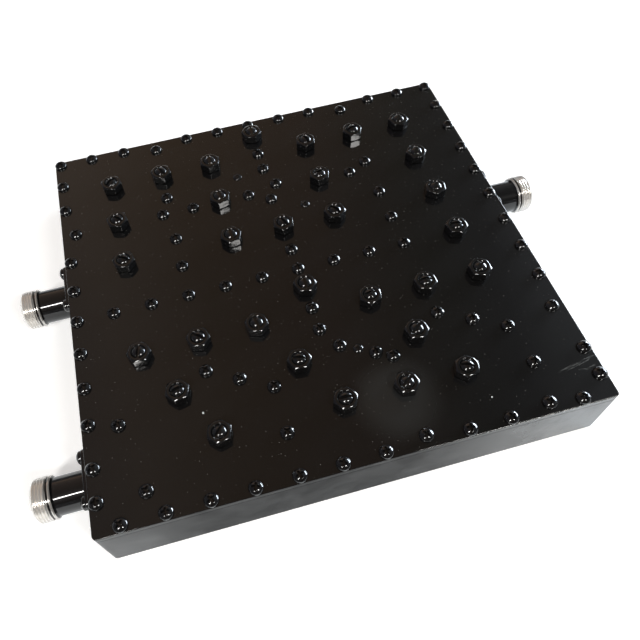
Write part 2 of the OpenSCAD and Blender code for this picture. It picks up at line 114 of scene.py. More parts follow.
def turn_of(corners, centre, repeats):
    """Turn round the solid's upright axis, from its outermost corners at one level."""
    offsets = [Vector((c.x - centre.x, c.y - centre.y)) for c in corners]
    reach = max(o.length for o in offsets)
    far = [math.atan2(o.y, o.x) for o in offsets if o.length > 0.97 * reach]
    across = sum(math.cos(repeats * angle) for angle in far)
    along = sum(math.sin(repeats * angle) for angle in far)
    return math.atan2(along, across) / repeats


lock_nut_solids = solids_of("lock_nuts")
print("lock nuts found:", len(lock_nut_solids))

# %% [markdown]
# ## Small tools for meshes
# A turned part is a profile spun round its axis, a milled recess is a cut, and every real
# edge is slightly round, all the more under paint. A few helpers are enough for almost every
# piece. Each one leaves plain mesh data, so that nothing depends on a live modifier.

# %% Make an object of a mesh
def add_object(name, data):
    thing = bpy.data.objects.new(name, data)
    bpy.context.scene.collection.objects.link(thing)
    return thing


def from_bmesh(name, mesh):
    data = bpy.data.meshes.new(name)
    mesh.to_mesh(data)
    mesh.free()
    return add_object(name, data)


def move(piece, place, angle=0.0, axis="Z"):
    """Turns a piece's mesh about an axis and then moves it to a place in metres."""
    piece.data.transform(Matrix.Translation(place) @ Matrix.Rotation(angle, 4, axis))


def describe(piece):
    return f"{piece.name}: {len(piece.data.polygons)} faces"


# %% Spin a solid from its profile
def turned(name, profile, sides):
    """A closed solid spun from (radius, height) points in millimetres, lowest point first."""
    mesh = bmesh.new()
    rings = []
    for radius, height in profile:
        if radius == 0:
            rings.append([mesh.verts.new((0, 0, height * MM))])
            continue
        angles = [2 * math.pi * side / sides for side in range(sides)]
        rings.append([mesh.verts.new((radius * MM * math.cos(a), radius * MM * math.sin(a),
                                      height * MM)) for a in angles])
    for lower, upper in zip(rings, rings[1:]):
        for side in range(sides):
            after = (side + 1) % sides
            corners = [lower[side % len(lower)], lower[after % len(lower)],
                       upper[after % len(upper)], upper[side % len(upper)]]
            mesh.faces.new(list(dict.fromkeys(corners)))
    bmesh.ops.recalc_face_normals(mesh, faces=mesh.faces)
    return from_bmesh(name, mesh)


# %% Cut a piece with another solid
def settle(piece):
    """Turns the result of a piece's modifiers into its plain mesh."""
    graph = bpy.context.evaluated_depsgraph_get()
    result = bpy.data.meshes.new_from_object(piece.evaluated_get(graph), depsgraph=graph)
    piece.modifiers.clear()
    piece.data = result
    return piece


def cut(piece, tool, operation="DIFFERENCE"):
    """Cuts, joins or intersects a piece with a tool solid, and removes the tool."""
    modifier = piece.modifiers.new("cut", "BOOLEAN")
    modifier.operation = operation
    modifier.solver = "EXACT"
    modifier.object = tool
    settle(piece)
    bpy.data.objects.remove(tool)
    return piece


# %% Close a mesh and round its edges
@contextmanager
def open_mesh(piece):
    """Lends a piece's mesh for editing and writes it back afterwards."""
    mesh = bmesh.new()
    mesh.from_mesh(piece.data)
    yield mesh
    mesh.to_mesh(piece.data)
    mesh.free()


def close_holes(piece):
    """Fills the small open triangles that merging or cutting can leave."""
    with open_mesh(piece) as mesh:
        bmesh.ops.holes_fill(mesh, edges=[e for e in mesh.edges if e.is_boundary], sides=0)
        bmesh.ops.recalc_face_normals(mesh, faces=mesh.faces)
    return piece


def soften(piece, width, angle=35, where=lambda middle: True, segments=2):
    """Rounds the sharp edges whose middle, in millimetres, passes the test."""
    with open_mesh(piece) as mesh:
        bmesh.ops.remove_doubles(mesh, verts=mesh.verts, dist=MERGE_DISTANCE)
        bmesh.ops.dissolve_limit(mesh, angle_limit=math.radians(0.5), verts=mesh.verts,
                                 edges=mesh.edges)
        sharp = [e for e in mesh.edges if len(e.link_faces) == 2
                 and e.calc_face_angle() > math.radians(angle)
                 and where((e.verts[0].co + e.verts[1].co) / 2 / MM)]
        bmesh.ops.bevel(mesh, geom=sharp, offset=width * MM, segments=segments,
                        profile=0.5, affect="EDGES", clamp_overlap=True)
    return piece


def smooth(piece, angle=32):
    """Shades rounded edges smoothly and lets the large flat faces stay flat."""
    piece.data.shade_smooth()
    piece.data.set_sharp_from_angle(angle=math.radians(angle))
    modifier = piece.modifiers.new("flat_faces_first", "WEIGHTED_NORMAL")
    modifier.keep_sharp = True
    return settle(piece)


# %% Coat a piece and hand it over
def coat_with(piece, *materials):
    """Leaves exactly these materials on a piece."""
    piece.data.materials.clear()
    for material in materials:
        piece.data.materials.append(material)


def hand_over(piece, node_name, body):
    """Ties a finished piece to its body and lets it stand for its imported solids."""
    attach(piece, body)
    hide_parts(node_name)


def discard(*patterns):
    """Removes the patterns that were only there to be copied."""
    for pattern in patterns:
        bpy.data.objects.remove(pattern)


# %% [markdown]
# ## Shader groups
# The same small effects turn up on several finishes: dust that has settled on the paint, the
# slow ripple that sprayed paint dries with, rubbed lines, and rings left by a lathe. Each
# one is a node group with named inputs, so that a finish only sets its own sizes. Long chains
# of math nodes are hard to read, so a small class lets Python's own signs stand for them.

# %% Sockets that can be reckoned with
class Value:
    """An output of a node. Python's own signs add the math node that they stand for."""

    def __init__(self, tree, socket):
        self.tree = tree
        self.socket = socket

    def into(self, socket):
        """Links this output to an input."""
        self.tree.links.new(self.socket, socket)

    def clamped(self):
        """Keeps the result of a math node between 0 and 1."""
        self.socket.node.use_clamp = True
        return self

    def __add__(self, other):
        return math_of("ADD", self, other)

    def __sub__(self, other):
        return math_of("SUBTRACT", self, other)

    def __rsub__(self, other):
        return math_of("SUBTRACT", other, self)

    def __mul__(self, other):
        return math_of("MULTIPLY", self, other)

    def __truediv__(self, other):
        return math_of("DIVIDE", self, other)

    def __gt__(self, other):
        return math_of("GREATER_THAN", self, other)

    def __lt__(self, other):
        return math_of("LESS_THAN", self, other)


class Outputs:
    """The outputs of a node, each picked by its name or number."""

    def __init__(self, tree, node):
        self.tree = tree
        self.node = node

    def __getitem__(self, key):
        return Value(self.tree, self.node.outputs[key])


# %% Helpers that add nodes
def link(tree, node_type, values=None, **settings):
    """Adds a node, sets its properties and feeds its inputs with numbers or values."""
    node = tree.nodes.new(node_type)
    for key, value in settings.items():
        setattr(node, key, value)
    for key, value in (values or {}).items():
        if isinstance(value, Value):
            value.into(node.inputs[key])
        else:
            node.inputs[key].default_value = value
    return Outputs(tree, node)


def math_of(operation, first, second=0.0):
    tree = (first if isinstance(first, Value) else second).tree
    return link(tree, "ShaderNodeMath", {0: first, 1: second}, operation=operation)[0]


def vector_of(operation, first, second=(0.0, 0.0, 0.0)):
    output = "Value" if operation in ("DISTANCE", "LENGTH") else "Vector"
    return link(first.tree, "ShaderNodeVectorMath", {0: first, 1: second},
                operation=operation)[output]


def axes_of(place):
    parts = link(place.tree, "ShaderNodeSeparateXYZ", {0: place})
    return parts["X"], parts["Y"], parts["Z"]


def beside(mask):
    """1 where the mask is 0, and the other way round."""
    return (1.0 - mask).clamped()


def ramp_of(value, low, high):
    """0 below low, 1 above high, with a soft step between."""
    return link(value.tree, "ShaderNodeMapRange", {"Value": value, "From Min": low,
                                                   "From Max": high},
                interpolation_type="SMOOTHSTEP")["Result"]


def spread_of(value, low, high):
    """Stretches a value from 0 to 1 over the range from low to high."""
    return link(value.tree, "ShaderNodeMapRange", {"Value": value, "To Min": low,
                                                   "To Max": high})["Result"]


def noise_of(place, scale, detail=2.0, roughness=0.5):
    return link(place.tree, "ShaderNodeTexNoise", {
        "Vector": place, "Scale": scale, "Detail": detail, "Roughness": roughness})["Fac"]


# %% Groups with named inputs
def empty_tree(name, kind, inputs, output):
    """A tree with sockets only; inputs are {name: (socket type, value)}, output is a pair."""
    tree = bpy.data.node_groups.new(name, kind)
    for label, (socket_type, value) in inputs.items():
        socket = tree.interface.new_socket(label, in_out="INPUT",
                                           socket_type="NodeSocket" + socket_type)
        if value is not None:
            socket.default_value = value
    label, socket_type = output
    tree.interface.new_socket(label, in_out="OUTPUT", socket_type="NodeSocket" + socket_type)
    enter = tree.nodes.new("NodeGroupInput")
    leave = tree.nodes.new("NodeGroupOutput")
    return tree, Outputs(tree, enter), leave.inputs[label]


def shader_group(name, inputs, output):
    """An empty group with a place vector, number inputs and one value output."""
    numbers = {label: ("Float", value) for label, value in inputs.items()}
    return empty_tree(name, "ShaderNodeTree", {"Place": ("Vector", None), **numbers},
                      (output, "Float"))


def use_group(group, place, **values):
    node = place.tree.nodes.new("ShaderNodeGroup")
    node.node_tree = group
    place.into(node.inputs["Place"])
    for label, value in values.items():
        node.inputs[label.replace("_", " ")].default_value = value
    return Value(place.tree, node.outputs[0])


# %% Dust specks
# Cells of a Voronoi pattern each hold one round speck, and a second value of the same cell
# decides whether the speck is there at all.
dust_specks, given, result = shader_group(
    "dust_specks", {"Cells": 500.0, "Share": 0.1, "Size": 0.12}, "Mask")
cells = link(dust_specks, "ShaderNodeTexVoronoi", {"Vector": given["Place"],
                                                   "Scale": given["Cells"]})
chosen = link(dust_specks, "ShaderNodeSeparateColor", {"Color": cells["Color"]})
here = chosen["Red"] < given["Share"]
spot = ((chosen["Green"] * given["Size"] - cells["Distance"]) * 25.0).clamped()
(spot * chosen["Blue"] * here).into(result)
print("group:", dust_specks.name)

# %% Paint ripple
# Sprayed paint keeps a slow orange-peel ripple of about two millimetres, and a finer one on it.
paint_ripple, given, result = shader_group(
    "paint_ripple", {"Coarse": 450.0, "Fine": 2600.0}, "Height")
coarse = noise_of(given["Place"], given["Coarse"])
fine = noise_of(given["Place"], given["Fine"])
(coarse + fine * 0.25).into(result)
print("group:", paint_ripple.name)

# %% Rub lines
# A scuff is a narrow bundle of faint lines. The place is moved and turned so that the bundle
# runs along X, and a noise stretched that way breaks it into lines.
rub_line, given, result = shader_group("rub_line", {
    "Start X": 0.0, "Start Y": 0.0, "Angle": 0.0, "Length": 0.01, "Width": 0.0005}, "Mask")
start = link(rub_line, "ShaderNodeCombineXYZ", {"X": given["Start X"], "Y": given["Start Y"]})
moved = vector_of("SUBTRACT", given["Place"], start[0])
straight = link(rub_line, "ShaderNodeVectorRotate", {
    "Vector": moved, "Angle": given["Angle"] * -1.0}, rotation_type="Z_AXIS")[0]
stretched = vector_of("MULTIPLY", straight, (400.0, 5000.0, 400.0))
streaks = ramp_of(noise_of(stretched, 1.0, 2.0), 0.44, 0.62)
run, aside, _ = axes_of(straight)
share = run / given["Length"]
ends = ramp_of(share, 0.0, 0.25) * ramp_of(share, 1.0, 0.7)
from_line = math_of("ABSOLUTE", aside) / given["Width"]
across = ramp_of(from_line, 1.0, 0.3)
(ends * across * streaks).into(result)
print("group:", rub_line.name)

# %% Turning lines
# A lathe leaves rings round the part. All three connectors lie along X, so a noise that
# changes almost only with X draws rings on each of them.
turning_lines, given, result = shader_group("turning_lines", {"Lines": 9000.0}, "Height")
along_x = vector_of("MULTIPLY", given["Place"], (1.0, 0.02, 0.02))
noise_of(along_x, given["Lines"], 3.0, 0.6).into(result)
print("group:", turning_lines.name)

# %% [markdown]
# ## Finishes
# Gloss paint is a dark, slightly rough ground under a clear smooth coat. The ground gives the
# soft grey sheen of the front face, and the coat gives the sharp mirror images of the nuts in
# the cover. The bare thread is nickel, and the parts inside are silver, copper, gold, steel
# and white insulating plastic.

# %% Start a finish
def finish(name, colour, **constants):
    """A material with its shader's constant values set on the shader itself."""
    material = bpy.data.materials.new(name)
    material.use_nodes = True
    material.diffuse_color = (*colour, 1.0)
    tree = material.node_tree
    shader = tree.nodes["Principled BSDF"]
    shader.inputs["Base Color"].default_value = (*colour, 1.0)
    for label, value in constants.items():
        shader.inputs[label.replace("_", " ")].default_value = value
    place = link(tree, "ShaderNodeTexCoord")["Object"]
    return material, shader, place


def mix_colour(mask, below, above):
    node = mask.tree.nodes.new("ShaderNodeMix")
    node.data_type = "RGBA"
    mask.into(node.inputs["Factor"])
    for key, colour in ((6, below), (7, above)):
        if isinstance(colour, Value):
            colour.into(node.inputs[key])
        else:
            node.inputs[key].default_value = (*colour, 1.0)
    return Value(mask.tree, node.outputs[2])


def raise_surface(shader, height, depth):
    """Feeds a height in 0 to 1 into the shader's normal; depth is in millimetres."""
    normal = link(height.tree, "ShaderNodeBump", {"Height": height, "Distance": depth * MM})[0]
    normal.into(shader.inputs["Normal"])
    normal.into(shader.inputs["Coat Normal"])


BLACK = (0.0045, 0.0045, 0.005)
DEEP_BLACK = (0.0035, 0.0035, 0.0038)
FADED_BLACK = (0.0065, 0.0064, 0.0066)
DUST = (0.32, 0.31, 0.29)
BARE_METAL = (0.62, 0.62, 0.60)
# Pale colour of the pinholes and scuff lines, also used for a patch of painted reflection.
PALE_MARK_AND_REFLECTION = (0.80, 0.85, 0.84)


def black_paint(name, ripple_depth, dust_share, ground_roughness=0.34, coat_roughness=0.03,
                gloss=None, bare_places=None, pale_places=None):
    """Gloss black paint. The last three are masks: how much clear coat there is, where the bare
    metal shows, and where something pale lies on the paint or a pale reflection is painted into
    its colour."""
    material, shader, place = finish(
        name, BLACK, Coat_Weight=1.0, Coat_Roughness=coat_roughness, Coat_IOR=1.6,
        Specular_IOR_Level=0.08)
    large = use_group(dust_specks, place, Cells=480.0, Share=0.5 * dust_share, Size=0.10)
    small = use_group(dust_specks, place, Cells=1000.0, Share=1.2 * dust_share, Size=0.16)
    specks = math_of("MAXIMUM", large, small * 0.55)
    cloud_and_reflection = noise_of(place, 35.0, 3.0)
    colour = mix_colour(specks, mix_colour(cloud_and_reflection, DEEP_BLACK, FADED_BLACK), DUST)
    coat = beside(specks)
    if gloss:
        coat = coat * gloss(place)
    if pale_places:
        # The pale places can hold painted reflection as well as real marks, mixed into the
        # colour.
        pale_spots = pale_places(place)
        colour = mix_colour(pale_spots, colour, PALE_MARK_AND_REFLECTION)
        coat = coat * beside(pale_spots)
    if bare_places:
        bare = bare_places(place)
        colour = mix_colour(bare, colour, BARE_METAL)
        coat = coat * beside(bare)
        bare.into(shader.inputs["Metallic"])
    colour.into(shader.inputs["Base Color"])
    spread_of(cloud_and_reflection, ground_roughness - 0.04, ground_roughness + 0.04).into(
        shader.inputs["Roughness"])
    coat.into(shader.inputs["Coat Weight"])
    raise_surface(shader, use_group(paint_ripple, place), ripple_depth)
    return material


# %% Marks and a painted reflection on the cover
# The photograph shows bare metal chips along the right half of the front edge, two white
# pinholes in the cover, a scuff near the front right corner and a soft pale patch near the
# front. Places are in millimetres from the middle of the cover; a rub line is given as its
# start, its angle in degrees, its length and its width.
# The soft pale patch is painted reflection: a light mirrored in the cover, put into the paint's
# colour.
COVER_PINHOLES = ((-48.1, -53.5, 0.38), (48.5, -75.1, 0.27))
RUB_LINES = ((73.6, -72.9, 10.0, 11.0, 0.5), (83.0, -71.0, 8.0, 7.5, 0.4),
             (76.0, -73.4, 12.0, 13.5, 0.3), (81.0, -73.6, -14.0, 4.0, 0.4),
             (83.4, -74.5, 12.0, 5.0, 0.4))
RUB_STRENGTH = 0.15
# Place, radius and strength of the patch of painted reflection.
REFLECTION_PATCH_PLACE = (17.5, -66.5)
REFLECTION_PATCH_RADIUS = 19.0
REFLECTION_PATCH_STRENGTH = 0.020
FRONT_FACE_Y = -86.5
COVER_TOP_Z = 26.0
CHIP_REACH = 0.55
CHIPS_DENSEST_X = 70.0
FEW_CHIPS = 0.74
MANY_CHIPS = 0.53


def reach_from(place, x, y):
    """The distance to a point of the cover, seen from above."""
    flat = vector_of("MULTIPLY", place, (1.0, 1.0, 0.0))
    return vector_of("DISTANCE", flat, (x * MM, y * MM, 0.0))


def spot_mask(place, spot):
    """A small uneven round spot at (x, y, radius)."""
    x, y, radius = spot
    uneven = noise_of(place, 2500.0) * (0.4 * MM)
    return reach_from(place, x, y) + uneven < (radius + 0.2) * MM


def cover_marks_and_reflection(place):
    """The two pinholes, the faint lines of the scuff and the soft patch of painted reflection."""
    lines = None
    for x, y, angle, length, width in RUB_LINES:
        line = use_group(rub_line, place, Start_X=x * MM, Start_Y=y * MM,
                         Angle=math.radians(angle), Length=length * MM, Width=width * MM)
        lines = line if lines is None else math_of("MAXIMUM", lines, line)
    # The soft round patch is painted reflection, not a mark on the paint.
    cloud_and_reflection = ramp_of(reach_from(place, *REFLECTION_PATCH_PLACE), REFLECTION_PATCH_RADIUS * MM, 0.35 * REFLECTION_PATCH_RADIUS * MM)
    pale_mask = lines * RUB_STRENGTH + cloud_and_reflection * REFLECTION_PATCH_STRENGTH
    for spot in COVER_PINHOLES:
        pale_mask = math_of("MAXIMUM", pale_mask, spot_mask(place, spot))
    return pale_mask


def edge_chips(place):
    """Chips along the front top edge, dense at the right and gone at the left."""
    x, y, z = axes_of(place)
    behind = math_of("ABSOLUTE", y - FRONT_FACE_Y * MM)
    below = math_of("ABSOLUTE", z - COVER_TOP_Z * MM)
    near = ramp_of(behind + below, CHIP_REACH * MM, 0.25 * MM)
    along = ramp_of(x, 0.0, CHIPS_DENSEST_X * MM)
    broken = noise_of(place, 3200.0, 4.0, 0.65)
    flake = broken > FEW_CHIPS - along * (FEW_CHIPS - MANY_CHIPS)
    return flake * near


print("marks on the cover:", len(COVER_PINHOLES), "pinholes,", len(RUB_LINES), "rub lines")

# %% Uneven gloss of the sides
# The spray hit the top squarely and the sides at a slant, so the sides are duller in their
# middle and a little cloudy.
LEFT_FADE = (-45.0, -90.0)
RIGHT_FADE = (6.0, 82.0)
LEFT_GLOSS = 0.48
RIGHT_GLOSS = 0.90
CLOUD_GLOSS = 0.62
LEAST_GLOSS = -0.24


def side_gloss(place):
    x, _, z = axes_of(place)
    left, right = (ramp_of(x, dull * MM, bright * MM) * gloss
                   for (dull, bright), gloss in ((LEFT_FADE, LEFT_GLOSS),
                                                 (RIGHT_FADE, RIGHT_GLOSS)))
    cloud = noise_of(place, 110.0, 4.0, 0.6) * CLOUD_GLOSS
    side = (left + right + LEAST_GLOSS + cloud).clamped()
    on_side = ramp_of(z, (COVER_TOP_Z - 0.05) * MM, (COVER_TOP_Z - 0.35) * MM)
    return beside(on_side * beside(side))


# %% The four paints
cover_paint = black_paint("cover_paint", 0.004, 0.5, gloss=side_gloss, bare_places=edge_chips,
                          pale_places=cover_marks_and_reflection)
housing_paint = black_paint("housing_paint", 0.006, 0.15, ground_roughness=0.42,
                            coat_roughness=0.12, gloss=side_gloss)
fastener_paint = black_paint("fastener_paint", 0.014, 0.04)
connector_paint = black_paint("connector_paint", 0.003, 0.02)
print("paints:", cover_paint.name, housing_paint.name, fastener_paint.name, connector_paint.name)

# %% Bare metals and insulating plastic
def metal(name, colour, roughness, line_depth=0.0, dulled=0.82, metallic=1.0):
    """A metal with slow changes of tone and, if it was turned, rings round the X axis."""
    material, shader, place = finish(name, colour, Metallic=metallic)
    cloud = noise_of(place, 300.0, 3.0)
    darker = tuple(dulled * c for c in colour)
    mix_colour(cloud, darker, colour).into(shader.inputs["Base Color"])
    spread_of(cloud, roughness * 0.75, roughness * 1.25).into(shader.inputs["Roughness"])
    if line_depth:
        raise_surface(shader, use_group(turning_lines, place), line_depth)
    return material


bright_nickel = metal("bright_nickel", (0.96, 0.93, 0.885), 0.20, line_depth=0.0002, dulled=0.95,
                      metallic=0.7)
silver_finish = metal("silver_finish", (0.86, 0.85, 0.81), 0.22)
plain_steel = metal("plain_steel", (0.56, 0.56, 0.57), 0.30)
soft_copper = metal("soft_copper", (0.80, 0.46, 0.30), 0.26)
gold_finish = metal("gold_finish", (0.90, 0.66, 0.30), 0.18)

white_plastic, shader, place = finish("white_plastic", (0.86, 0.86, 0.84), Roughness=0.42,
                                      Subsurface_Weight=0.15, Subsurface_Scale=0.001)
cloud = noise_of(place, 700.0, 3.0)
mix_colour(cloud, (0.82, 0.82, 0.79), (0.90, 0.90, 0.88)).into(shader.inputs["Base Color"])
raise_surface(shader, use_group(turning_lines, place, Lines=5000.0), 0.006)
print("finishes:", len(bpy.data.materials))

# %% [markdown]
# ## Cover and housing
# Both are plates with upright round corners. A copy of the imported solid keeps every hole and
# wall. Its outer edges are then rounded: more on the rims that hands touch, very little on the
# two edges that meet at the joint, which is what draws the fine line round the box.

# %% Copies of the two big solids with real edges
OUTLINE_WIDTH = 180.0
OUTLINE_LENGTH = 173.0
JOINT_Z = 23.5
TOP_RIM = 0.3
JOINT_RIM = 0.2
FOOT_RIM = 0.5
CORNER_DEPTH = 0.55


def on_outline(middle):
    """True for the middle of an edge on the sides of the box, round corners included."""
    past_side = abs(middle.x) - OUTLINE_WIDTH / 2
    past_end = abs(middle.y) - OUTLINE_LENGTH / 2
    return max(past_side, past_end) > -CORNER_DEPTH


def plate_skin(name, node_name, edges, material):
    """A copy of a packed plate; edges lists (height, width) of the rims to round."""
    piece = from_bmesh(name, joined_mesh(node_name))
    for height, width in edges:
        soften(piece, width, 60, lambda m: abs(m.z - height) < 0.01 and on_outline(m), 3)
    smooth(piece)
    coat_with(piece, material)
    hand_over(piece, node_name, "root")
    print(describe(piece))


plate_skin("cover_skin", "cover", ((COVER_TOP_Z, TOP_RIM), (JOINT_Z, JOINT_RIM)), cover_paint)
plate_skin("housing_skin", "housing", ((JOINT_Z, JOINT_RIM), (0.0, FOOT_RIM)), housing_paint)

# %% [markdown]
# ## Setting out the screws and nuts
# A hundred equal screws are one pattern, placed many times. Geometry Nodes do that: the tree
# reads the turn kept on each point, puts the pattern there, and makes the copies real. It is
# built once and serves the screws and the nuts alike.

# %% The tree that sets a pattern out on points
def geometry_tree(name, inputs):
    """An empty tree that takes and gives geometry and has the named inputs besides."""
    return empty_tree(name, "GeometryNodeTree", {"Geometry": ("Geometry", None), **inputs},
                      ("Geometry", "Geometry"))


def end_tree(geometry, given, result):
    """Ends a tree as the export needs it: real geometry with its finish."""
    tree = geometry.tree
    real = link(tree, "GeometryNodeRealizeInstances", {"Geometry": geometry})[0]
    link(tree, "GeometryNodeSetMaterial", {"Geometry": real,
                                           "Material": given["Finish"]})[0].into(result)
    print("tree:", tree.name, len(tree.nodes), "nodes")


set_out, given, result = geometry_tree("set_out", {
    "Pattern": ("Object", None), "Size": ("Float", 1.0), "Finish": ("Material", None)})
pattern = link(set_out, "GeometryNodeObjectInfo", {"Object": given["Pattern"]})
facing = link(set_out, "GeometryNodeInputNamedAttribute", {"Name": "facing"},
              data_type="FLOAT_VECTOR")
turned_by = link(set_out, "FunctionNodeEulerToRotation", {0: facing["Attribute"]})
placed = link(set_out, "GeometryNodeInstanceOnPoints", {
    "Points": given["Geometry"], "Instance": pattern["Geometry"],
    "Rotation": turned_by[0], "Scale": given["Size"]})
end_tree(placed["Instances"], given, result)


# %% Run a tree once and keep the plain mesh
def run_tree(name, tree, start, inputs):
    """Gives the start mesh to the tree and returns its result as a plain object."""
    piece = add_object(name, start)
    modifier = piece.modifiers.new(tree.name, "NODES")
    modifier.node_group = tree
    sockets = {item.name: item.identifier for item in tree.interface.items_tree
               if item.in_out == "INPUT"}
    for label, value in inputs.items():
        modifier[sockets[label]] = value
    return settle(piece)


def points_mesh(name, places):
    """A mesh of bare points; places lists (position in metres, turn as XYZ angles)."""
    data = bpy.data.meshes.new(name)
    data.from_pydata([position for position, _ in places], [], [])
    facing = data.attributes.new("facing", "FLOAT_VECTOR", "POINT")
    facing.data.foreach_set("vector", [angle for _, turn in places for angle in turn])
    return data


def fastener_set(name, node_name, pattern, places):
    """One painted mesh of all fasteners of a node, in the places of its solids."""
    piece = run_tree(name, set_out, points_mesh(name, places), {
        "Pattern": pattern, "Size": 1.0, "Finish": fastener_paint})
    smooth(piece)
    hand_over(piece, node_name, "root")
    print(describe(piece))


# %% [markdown]
# ## Pan-head screws
# A pan head is a low dome with a cross recess. The head is spun from a profile, the recess is
# two crossing wedges cut out of it, and the rims of the recess are softened, because the paint
# has flowed over them. One pattern serves the rim, the cover and the flanges; the three small
# flat screws of the cross couplings get their own.

# %% The head's dome and the wedge that cuts its recess
HEAD_RADIUS = 2.5
HEAD_HEIGHT = 2.0
HEAD_SPHERE = 3.15
SMALL_HEAD_RADIUS = 1.9
SMALL_HEAD_HEIGHT = 1.0
SMALL_HEAD_SPHERE = 2.8
SHANK_LENGTH = 5.0
FLANGE_THICKNESS = 2.2


def dome(radius, height, sphere):
    """The profile of an end cut from a ball of the given radius; its rim is a little round."""
    points = []
    for across in (1.0, 0.97, 0.92, 0.85, 0.76, 0.66, 0.54, 0.41, 0.27, 0.13, 0.0):
        drop = sphere - math.sqrt(sphere ** 2 - (radius * across) ** 2)
        points.append((radius * across, height - drop))
    rim = points[0][1]
    return [(radius, rim - 0.04 * radius), (0.994 * radius, rim - 0.01 * radius)] + points[1:]


def block(name, low, high, taper=1.0):
    """A box between two corners in millimetres; its lower end is narrower by the taper."""
    mesh = bmesh.new()
    bmesh.ops.create_cube(mesh, size=1)
    middle = (Vector(low) + Vector(high)) / 2
    size = Vector(high) - Vector(low)
    for vert in mesh.verts:
        scale = taper if vert.co.z < 0 else 1.0
        vert.co = Vector((middle.x + vert.co.x * size.x * scale,
                          middle.y + vert.co.y * size.y * scale,
                          middle.z + vert.co.z * size.z)) * MM
    return from_bmesh(name, mesh)


# %% The two screw patterns
def pan_screw(name, radius, height, sphere, shank_radius, arm, width, depth, sides):
    """A screw that stands on height 0; arm and width are half the size of the cross's bars."""
    profile = [(0, -SHANK_LENGTH), (shank_radius, -SHANK_LENGTH), (shank_radius, 0), (radius, 0)]
    profile += dome(radius, height, sphere)
    screw = turned(name, profile, sides)
    for long_x, long_y in ((arm, width), (width, arm)):
        wedge = block("wedge", (-long_x, -long_y, height - depth), (long_x, long_y, height + 0.2),
                      taper=0.6)
        cut(screw, wedge)
    return soften(screw, 0.13 * radius / HEAD_RADIUS, 35, lambda m: m.z > 0.3 * height)


cover_screw_pattern = pan_screw(
    "cover_screw_pattern", HEAD_RADIUS, HEAD_HEIGHT, HEAD_SPHERE,
    shank_radius=1.25, arm=1.70, width=0.42, depth=1.2, sides=32)
small_screw_pattern = pan_screw(
    "small_screw_pattern", SMALL_HEAD_RADIUS, SMALL_HEAD_HEIGHT, SMALL_HEAD_SPHERE,
    shank_radius=1.0, arm=1.05, width=0.27, depth=0.5, sides=24)
print(describe(cover_screw_pattern), "/", describe(small_screw_pattern))


# %% Read the places of the screws and set them out
def upright_places(node_name, head_height):
    """Seat and turn of each screw of a node whose screws stand on the cover."""
    places = []
    for corners in solids_of(node_name):
        centre = centre_of(corners)
        recess_floor = (COVER_TOP_Z + head_height / 2) * MM
        floor = [c for c in corners if abs(c.z - recess_floor) < 0.02 * MM]
        turn = turn_of(floor, centre, 4)
        places.append(((centre.x, centre.y, COVER_TOP_Z * MM), (0.0, 0.0, turn)))
    return places


def sideways_places(node_name):
    """Seat and direction of each screw that points away from the box along X."""
    places = []
    for corners in solids_of(node_name):
        centre = centre_of(corners)
        side = math.copysign(1, centre.x)
        seat = (OUTLINE_WIDTH / 2 + FLANGE_THICKNESS) * MM
        places.append(((side * seat, centre.y, centre.z), (0.0, side * math.pi / 2, 0.0)))
    return places


for group, pattern, head_height in (("rim", cover_screw_pattern, HEAD_HEIGHT),
                                    ("inner", cover_screw_pattern, HEAD_HEIGHT),
                                    ("probe", small_screw_pattern, SMALL_HEAD_HEIGHT)):
    fastener_set(group + "_screw_heads", group + "_screws", pattern,
                 upright_places(group + "_screws", head_height))
fastener_set("flange_screw_heads", "flange_screws", cover_screw_pattern,
             sideways_places("flange_screws"))
discard(cover_screw_pattern, small_screw_pattern)

# %% [markdown]
# ## Lock nuts
# A hexagon nut starts as a six-sided bar and is turned down to a shallow cone at both ends,
# which leaves the curved lines at its corners. That is how it is made here too: the bar is
# intersected with the turned shape, the countersunk bore is cut, and the edges are softened.

# %% The nut pattern
NUT_FLATS = 8.0
NUT_HEIGHT = 4.0
NUT_BORE_RADIUS = 2.55
NUT_SINK_RADIUS = 2.9
NUT_FACE_RADIUS = NUT_FLATS / 2 * 0.89
NUT_END_ANGLE = math.radians(30)
nut_corner = NUT_FLATS / 2 / math.cos(math.radians(30))
bar = turned("lock_nut_pattern", [(0, 0), (nut_corner, 0), (nut_corner, NUT_HEIGHT),
                                  (0, NUT_HEIGHT)], 6)
past_corner = nut_corner + 0.5
end_drop = (past_corner - NUT_FACE_RADIUS) * math.tan(NUT_END_ANGLE)
turned_ends = turned("turned_ends", [
    (0, 0), (NUT_FACE_RADIUS, 0), (past_corner, end_drop), (past_corner, NUT_HEIGHT - end_drop),
    (NUT_FACE_RADIUS, NUT_HEIGHT), (0, NUT_HEIGHT)], 60)
cut(bar, turned_ends, "INTERSECT")
sink = NUT_SINK_RADIUS - NUT_BORE_RADIUS
drill = turned("drill", [
    (0, -1), (NUT_SINK_RADIUS + 1, -1), (NUT_BORE_RADIUS, sink),
    (NUT_BORE_RADIUS, NUT_HEIGHT - sink), (NUT_SINK_RADIUS + 1, NUT_HEIGHT + 1),
    (0, NUT_HEIGHT + 1)], 36)
nut_pattern = soften(cut(bar, drill), 0.11, 24)
print(describe(nut_pattern))

# %% Set the nuts out
nut_places = []
for corners in lock_nut_solids:
    centre = centre_of(corners)
    turn = turn_of(corners, centre, 6)
    nut_places.append(((centre.x, centre.y, centre.z - NUT_HEIGHT / 2 * MM), (0.0, 0.0, turn)))
fastener_set("lock_nut_set", "lock_nuts", nut_pattern, nut_places)
discard(nut_pattern)

# %% [markdown]
# ## Threads
# A thread is a ramp wound round a rod. Bending a flat grid does it: one direction of the grid
# goes round, the other climbs, and each row climbs by one pitch in a turn, so that the rows
# lie along the thread. Rows near the ends are pressed flat onto the end faces. That leaves one
# open triangle, which is closed before the rod is joined to anything. The same tree makes the
# tuning screws' thread and the coupling thread of the connectors.

